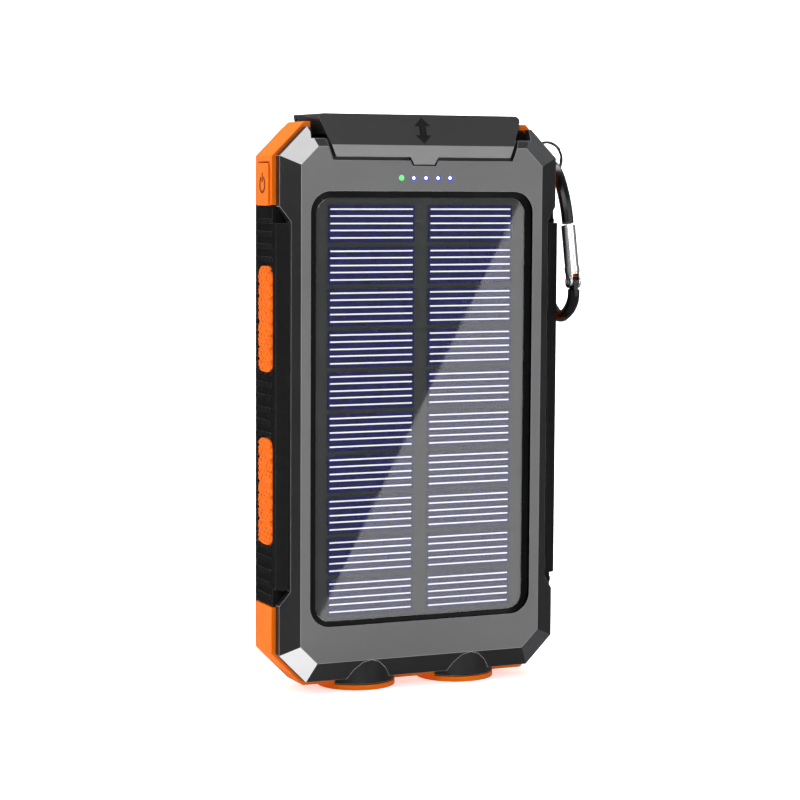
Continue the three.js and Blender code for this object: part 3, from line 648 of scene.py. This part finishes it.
def make_grip(node):
    """A soft insert with scalloped sides and rows of small lozenge bumps, with painted shade in the
    valleys between them.
    """
    lo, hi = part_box(node)
    outward = 1 if (lo.x + hi.x) / 2 > CENTRE_X else -1
    base = lo.x if outward > 0 else hi.x
    height = hi.x - lo.x
    mid_y, half_w = (lo.y + hi.y) / 2, (hi.y - lo.y) / 2
    length = hi.z - lo.z
    bm = bmesh.new()
    grid, valley_shade_verts = [], set()
    for j in range(GRIP_ROWS + 1):
        z = lo.z + length * (j / GRIP_ROWS)
        from_end = min(z - lo.z, hi.z - z)
        short = max(0.0, GRIP_END_RADIUS - from_end)
        inset = GRIP_END_RADIUS - math.sqrt(max(0.0, GRIP_END_RADIUS ** 2 - short ** 2))
        scallop = SCALLOP_DEPTH * (1 - abs(math.sin(math.pi * (z - lo.z) / SCALLOP_PITCH)) ** 0.7)
        half = max(half_w - inset - scallop, LEAST_HALF_WIDTH)
        row = []
        for i in range(GRIP_COLUMNS + 1):
            u = 2 * i / GRIP_COLUMNS - 1
            y = mid_y + half * u
            rim = min(1.0, (1 - abs(u)) / 0.16, from_end / (0.9 * MM) + 0.15)
            crown = math.sin(0.5 * math.pi * max(0.0, rim)) ** 0.8
            lozenge = abs(math.sin(math.pi * (z + y) / LOZENGE_PITCH)
                          * math.sin(math.pi * (z - y) / LOZENGE_PITCH))
            relief = (RIM_SHARE + CROWN_SHARE * crown
                      + LOZENGE_SHARE * crown * lozenge ** 0.7)
            vert = bm.verts.new((base + outward * height * relief, y, z))
            # Low points between the bumps get the darker orange: painted shade.
            if crown > 0.9 and lozenge < 0.2:
                valley_shade_verts.add(vert)
            row.append(vert)
        grid.append(row)
    for a, b in zip(grid, grid[1:]):
        for i in range(GRIP_COLUMNS):
            face = bm.faces.new((a[i], a[i + 1], b[i + 1], b[i]))
            face.material_index = int(sum(vert in valley_shade_verts for vert in face.verts) > 2)
    rim_verts = (grid[0] + [row[-1] for row in grid[1:-1]]
                 + grid[-1][::-1] + [row[0] for row in grid[-2:0:-1]])
    bottom = [bm.verts.new((base, vert.co.y, vert.co.z)) for vert in rim_verts]
    bridge(bm, [rim_verts, bottom])
    bm.faces.new(bottom)
    mesh = finish_mesh(bm, node)
    smooth_by_angle(mesh, 40)
    place(node + "_skin", mesh, ("grip", "grip_valley_shade"), "housing", node)


# ---- Power button -------------------------------------------------------------------------
DISH_RIM, DISH_DEPTH = 0.75 * MM, 0.16 * MM
SYMBOL_INNER, SYMBOL_OUTER, SYMBOL_STRETCH = 1.45 * MM, 1.85 * MM, 1.25
SYMBOL_GAP_END, SYMBOL_SWEEP, SYMBOL_STEPS = 125, 290, 22      # degrees
SYMBOL_BAR = ((-0.2, 0.5), (0.2, 0.5), (0.2, 2.9), (-0.2, 2.9))        # mm


def make_button():
    """The button with a shallow dish in its face."""
    lo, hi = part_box("power_button")
    outer = lo.x
    bm = bmesh.new()
    bm.from_mesh(merged_mesh("power_button"))
    face = [f for f in bm.faces
            if f.normal.x < -0.99 and abs(f.calc_center_median().x - outer) < 0.01 * MM]
    bmesh.ops.inset_region(bm, faces=face, thickness=DISH_RIM)
    for vert in {v for f in face for v in f.verts}:
        vert.co.x += DISH_DEPTH
    mesh = bpy.data.meshes.new("power_button_skin")
    bm.to_mesh(mesh)
    bm.free()
    done = shaded(bevelled(mesh, 0.14, 3, BEVEL_ANGLE))
    place("power_button_skin", done, "orange", "button", "power_button")
    power_symbol(outer + DISH_DEPTH, (lo.y + hi.y) / 2, (lo.z + hi.z) / 2)


def power_symbol(face_x, y, z):
    """A ring open at the top with a bar through the gap."""
    bm = bmesh.new()
    start, depth = Vector((0.1 * MM, 0, 0)), Vector((-0.22 * MM, 0, 0))
    angles = [math.radians(SYMBOL_GAP_END + SYMBOL_SWEEP * i / SYMBOL_STEPS)
              for i in range(SYMBOL_STEPS + 1)]
    for a, b in zip(angles, angles[1:]):
        outline = [Vector((face_x, y + r * math.cos(t), z + r * math.sin(t) * SYMBOL_STRETCH))
                   for r, t in ((SYMBOL_INNER, a), (SYMBOL_OUTER, a),
                                (SYMBOL_OUTER, b), (SYMBOL_INNER, b))]
        prism(bm, outline, start, depth)
    bar = [Vector((face_x, y + u * MM, z + v * MM)) for u, v in SYMBOL_BAR]
    prism(bm, bar, start, depth)
    bmesh.ops.remove_doubles(bm, verts=bm.verts, dist=0.001 * MM)
    place("power_symbol", finish_mesh(bm, "power_symbol"), "orange_mark", "button")


# ---- Solar panel --------------------------------------------------------------------------
CELL_ROWS = 10
CELL_GAP, CELL_CORNER = 1.17 * MM, 0.25 * MM
LINE_PLACES = (0.11, 0.294, 0.494, 0.678, 0.878)       # shares of a cell's height, from its top
LINE_HALF, LINE_MARGIN, LINE_CORNER, LINE_DEPTH = 0.19 * MM, 0.5 * MM, 0.1 * MM, 0.05 * MM
WAFER_BEHIND = 0.02 * MM   # how far a wafer's face lies behind its lines
# Outlines in mm of the black ring over the recess walls, and the depths in mm that its five rings
# lie at
SHADE_RING_OUTER = {"x": 31.35, "top": 54.75, "bottom": -56.65, "r": 5.45}
SHADE_RING_INNER = {"x": 29.6, "top": 53.2, "bottom": -55.6, "r": 4.1}
SHADE_RING_LOOPS = ((SHADE_RING_OUTER, 0.35), (SHADE_RING_OUTER, 0.9), (SHADE_RING_INNER, 1.15),
                (SHADE_RING_INNER, 2.3), (SHADE_RING_OUTER, 2.3))
CHARGE_LIGHTS = 5
LIGHTS_X, LIGHTS_Z, LIGHTS_PITCH = 0.45, 58.2, 3.42    # mm
DOME_SIDES, DOME_RINGS = 20, 4


def make_panel():
    """Each column of cells as ten separate wafers with five bright conductor lines apiece."""
    refine("solar_board", 0.1, "board", 1)
    refine("solar_glass", 0.12, "glass")
    for node in ("solar_cells_left", "solar_cells_right"):
        lo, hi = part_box(node)
        height = (hi.z - lo.z - CELL_GAP * (CELL_ROWS - 1)) / CELL_ROWS
        wafer_start = Vector((0, lo.y + WAFER_BEHIND, 0))
        wafer_depth = Vector((0, hi.y - lo.y - WAFER_BEHIND, 0))
        wafers, lines = bmesh.new(), bmesh.new()
        for i in range(CELL_ROWS):
            top = hi.z - i * (height + CELL_GAP)
            wafer = plate_outline(lo.x, top - height, hi.x, top, CELL_CORNER, 2)
            prism(wafers, wafer, wafer_start, wafer_depth)
            for part in LINE_PLACES:
                z = top - part * height
                line = plate_outline(lo.x + LINE_MARGIN, z - LINE_HALF, hi.x - LINE_MARGIN,
                                     z + LINE_HALF, LINE_CORNER, 2)
                prism(lines, line, Vector((0, lo.y, 0)), Vector((0, LINE_DEPTH, 0)))
        place(node + "_wafers", finish_mesh(wafers, node), "cell", "housing", node)
        place(node + "_lines", finish_mesh(lines, node + "_lines"), "line", "housing")
    recess_shade_ring()


def recess_shade_ring():
    """A glossy black ring over the recess walls round the glass: painted shade and dark reflection.
    """
    bm = bmesh.new()
    loops = []
    for size, depth in SHADE_RING_LOOPS:
        low, high = at(-size["x"], 0, size["bottom"]), at(size["x"], 0, size["top"])
        points = plate_outline(low.x, low.z, high.x, high.z, size["r"] * MM, 8)
        loops.append([bm.verts.new((p.x, FRONT_Y + depth * MM, p.z)) for p in points])
    bridge(bm, loops + loops[:1])
    mesh = finish_mesh(bm, "recess_shade_ring")
    smooth_by_angle(mesh, 50)
    place("recess_shade_ring", mesh, "gasket", "housing")


def dome(centre, r, proud):
    """A closed low dome facing the front (negative Y)."""
    bm = bmesh.new()
    loops = []
    for k in range(DOME_RINGS):
        a = math.radians(90 * k / DOME_RINGS)
        loops.append([bm.verts.new(p) for p in ring_points(
            centre.x, centre.z, r * math.cos(a), DOME_SIDES, centre.y - proud * math.sin(a))])
    tip = bm.verts.new((centre.x, centre.y - proud, centre.z))
    bridge(bm, loops)
    for i in range(DOME_SIDES):
        bm.faces.new((loops[-1][i], loops[-1][(i + 1) % DOME_SIDES], tip))
    bm.faces.new(loops[0])
    return finish_mesh(bm, "dome")


def make_indicators():
    """Five charge lights: one green, four blue with a white core."""
    refine("light_guide", 0.05, "clear", 1)
    for i in range(CHARGE_LIGHTS):
        x = LIGHTS_X + (i - 2) * LIGHTS_PITCH
        light = dome(at(x, 0.12, LIGHTS_Z), 0.72 * MM, 0.08 * MM)
        finish = "green_light" if i == 0 else "blue_light"
        place(f"charge_light_{i + 1}", light, finish, "housing")
        if i > 0:
            core = dome(at(x, 0.06, LIGHTS_Z), 0.4 * MM, 0.06 * MM)
            place(f"charge_core_{i + 1}", core, "white_light", "housing")


# ---- Port cap -----------------------------------------------------------------------------
CAP_CORNER_RADIUS = 2.0 * MM
SLOPE_FOOT, SLOPE = 66.5, 2.5 / 7.9    # mm: where the cap's slope starts, and its depth per rise
ARROW = ((-0.95, 69.1), (-0.95, 71.4), (-2.3, 71.4), (0, 73.7), (2.3, 71.4), (0.95, 71.4),
         (0.95, 69.1), (2.3, 69.1), (0, 66.9), (-2.3, 69.1))       # mm


def round_cap_corners(bm):
    """Rounds the two upper corners of the cap in front view."""
    lo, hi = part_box("port_cap")
    reach = (hi.x - lo.x) / 2 - 0.5 * MM
    corners = [edge for edge in bm.edges if edge.is_valid and all(
        vert.co.z > hi.z - 0.3 * MM and abs(vert.co.x - CENTRE_X) > reach for vert in edge.verts)
        and abs(edge.verts[0].co.y - edge.verts[1].co.y) > 3 * MM]
    bmesh.ops.bevel(bm, geom=corners, offset=CAP_CORNER_RADIUS, segments=6, profile=0.5,
                    affect="EDGES")


def make_cap():
    """Lip at the front lightened with a painted highlight, dark slope above it and edges with a
    painted highlight.
    """
    finishes = ("lip", "cap", "edge")
    lip, slope, edge = range(len(finishes))
    mesh = refined_mesh("port_cap", 0.25, edge_slot=edge, shape=round_cap_corners)
    # Front-facing faces take the lip's painted highlight, the rest the cap's own dark colour.
    for polygon in mesh.polygons:
        if polygon.material_index != edge:
            polygon.material_index = lip if -polygon.normal.y > FLAT_FRONT else slope
    place("port_cap_skin", shaded(mesh), finishes, "cap", "port_cap")
    refine("cap_seal", 0.3, "rubber")
    refine("hinge_pin", 0.1, "steel", 1)
    cap_arrow()


def cap_arrow():
    """A dark double-headed arrow lying in the slope of the cap."""
    bm = bmesh.new()
    points = [at(x, (z - SLOPE_FOOT) * SLOPE, z) for x, z in ARROW]
    prism(bm, points, Vector((0, -0.02 * MM, 0)), Vector((0, 0.4 * MM, 0)))
    place("cap_arrow", finish_mesh(bm, "cap_arrow"), "mark", "cap")


# ---- Torches, sockets and inner parts -----------------------------------------------------
LENS_SIDES, LENS_RINGS = 56, 18
LENS_CROWN, LENS_RING_HEIGHT = 0.62 * MM, 0.05 * MM


def ringed_lens(node):
    """A round torch lens with raised rings on its outer face."""
    lo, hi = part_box(node)
    cx, cy = (lo.x + hi.x) / 2, (lo.y + hi.y) / 2
    r_out = (hi.x - lo.x) / 2
    bm = bmesh.new()
    angles = [2 * math.pi * i / LENS_SIDES for i in range(LENS_SIDES)]
    loops = []
    for k in range(LENS_RINGS + 1):
        r = r_out * (1 - k / (LENS_RINGS + 1))
        z = lo.z + LENS_CROWN * (r / r_out) ** 2.2 + LENS_RING_HEIGHT * (k % 2)
        loops.append([bm.verts.new((cx + r * math.cos(a), cy + r * math.sin(a), z))
                      for a in angles])
    top = [bm.verts.new((vert.co.x, vert.co.y, hi.z)) for vert in loops[0]]
    bridge(bm, [top] + loops)
    bm.faces.new(loops[-1])
    bm.faces.new(top)
    mesh = finish_mesh(bm, node)
    smooth_by_angle(mesh, 35)
    place(node + "_skin", mesh, "clear", "housing", node)


def make_torches():
    for side in ("left", "right"):
        ringed_lens(f"torch_lens_{side}")
        refine(f"torch_reflector_{side}", 0.1, "chrome")
        refine(f"torch_led_{side}", 0.1, "torch_light")
        refine(f"torch_board_{side}", 0.1, "white", 1)


def make_inner_parts():
    for side in ("left", "right"):
        refine(f"usb_a_socket_{side}", 0.08, "chrome")
        refine(f"usb_a_tongue_{side}", 0.1, "white", 1)
        refine(f"battery_{side}", 0.4, "foil")
    refine("micro_usb_socket", 0.1, "chrome")
    refine("micro_usb_tongue", 0.05, "mark", 1)
    refine("main_board", 0.1, "pcb", 1)
    refine("power_switch", 0.1, "steel", 1)
    for row in ("upper", "lower"):
        for side in ("left", "right"):
            refine(f"screw_{row}_{side}", 0.12, "steel", 1)
            refine(f"screw_plug_{row}_{side}", 0.14, "rubber")


# ---- Compass ------------------------------------------------------------------------------
PAINT = 0.04 * MM          # how far the dial's paint stands off its card
TICKS, LONG_TICK_EVERY = 72, 6
TICK_END = 0.45 * MM       # from the card's edge to the outer end of every tick
LONG_TICK, SHORT_TICK = (1.75, 0.13), (1.3, 0.07)      # mm: from the card's edge in, half width
# Marks, the degrees they start at, their size and distance from the middle in mm, and paint
DIAL_MARKS = (
    (("N", "E", "S", "W"), 0, 3.4, 4.1, "green_paint"),
    (("NE", "SE", "SW", "NW"), 45, 1.7, 4.4, "white_paint"),
)


def letter(text, size, x, y, z, turn, finish):
    """One generic dial mark as thin solid type, read from the back."""
    name = f"compass_{text}"
    curve = bpy.data.curves.new(name, "FONT")
    curve.body = text
    curve.size = size * MM
    curve.extrude = 0.03 * MM
    curve.align_x = "CENTER"
    curve.align_y = "CENTER"
    mesh = evaluated(add_object(name, curve))
    face_back = Matrix.Rotation(math.pi, 4, "Z") @ Matrix.Rotation(math.pi / 2, 4, "X")
    spin = Matrix.Rotation(turn, 4, "Y")
    mesh.transform(Matrix.Translation((x, y, z)) @ spin @ face_back)
    place(name, mesh, finish, "card")


def make_compass():
    """Cup, lens and pivot, and the turning card with its ticks and letters."""
    refine("compass_cup", 0.15, "gloss", 3)
    refine("compass_card", 0.08, "gloss")
    refine("compass_pivot", 0.1, "brass")
    refine("compass_lens", 0.15, "clear", 3)
    lo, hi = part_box("compass_card")
    cx, cz, face = (lo.x + hi.x) / 2, (lo.z + hi.z) / 2, hi.y
    centre = Vector((cx, face, cz))
    outer = (hi.x - lo.x) / 2
    ticks = bmesh.new()
    for i in range(TICKS):
        a = 2 * math.pi * i / TICKS
        reach, half = LONG_TICK if i % LONG_TICK_EVERY == 0 else SHORT_TICK
        r0, r1 = outer - reach * MM, outer - TICK_END
        out = Vector((math.cos(a), 0, math.sin(a)))
        across = Vector((-math.sin(a), 0, math.cos(a))) * (half * MM)
        outline = [centre + out * r0 - across, centre + out * r0 + across,
                   centre + out * r1 + across, centre + out * r1 - across]
        prism(ticks, outline, Vector((0, 0, 0)), Vector((0, PAINT, 0)))
    place("compass_ticks", finish_mesh(ticks, "ticks"), "white_paint", "card")
    for marks, first, size, reach, finish in DIAL_MARKS:
        for i, mark in enumerate(marks):
            a = math.radians(90 * i + first)
            x = cx - reach * MM * math.sin(a)
            z = cz + reach * MM * math.cos(a)
            letter(mark, size, x, face + PAINT, z, -a, finish)


# ---- Ring and carabiner -------------------------------------------------------------------
WIRE = 0.34 * MM           # radius of the split ring's wire
RING_TURNS, RING_START = 1.92, 0.6     # turns of wire, and the angle they start at
RING_STEPS, WIRE_SIDES = 150, 10


def split_ring_skin():
    """Two close turns of round wire, as a real split ring has."""
    lo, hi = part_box("split_ring")
    cx, cy, cz = (lo.x + hi.x) / 2, (lo.y + hi.y) / 2, (lo.z + hi.z) / 2
    radius = (hi.x - lo.x) / 2 - WIRE * 1.35
    bm = bmesh.new()
    loops = []
    for i in range(RING_STEPS + 1):
        a = 2 * math.pi * RING_TURNS * i / RING_STEPS + RING_START
        shift = (i / RING_STEPS - 0.5) * 2 * WIRE * 1.02
        loop = []
        for k in range(WIRE_SIDES):
            b = 2 * math.pi * k / WIRE_SIDES
            r = radius + WIRE * math.cos(b)
            loop.append(bm.verts.new((cx + r * math.cos(a), cy + shift + WIRE * math.sin(b),
                                      cz + r * math.sin(a))))
        loops.append(loop)
    bridge(bm, loops)
    bm.faces.new(loops[0])
    bm.faces.new(loops[-1])
    mesh = finish_mesh(bm, "split_ring")
    smooth_by_angle(mesh, 50)
    place("split_ring_skin", mesh, "dark_steel", "ring", "split_ring")


def make_lanyard():
    split_ring_skin()
    refine("lanyard_pin", 0.1, "steel")
    refine("carabiner_body", 0.1, "gloss")
    refine("carabiner_gate", 0.18, "chrome", 3)
    refine("carabiner_rivet", 0.12, "steel")


# ---- Assembly -----------------------------------------------------------------------------
make_camera()
make_floor()
make_lights()
make_housing()
groove_line()
for grip in ("grip_left_upper", "grip_left_lower", "grip_right_upper", "grip_right_lower"):
    make_grip(grip)
make_button()
make_panel()
make_indicators()
make_cap()
make_torches()
make_inner_parts()
make_compass()
make_lanyard()
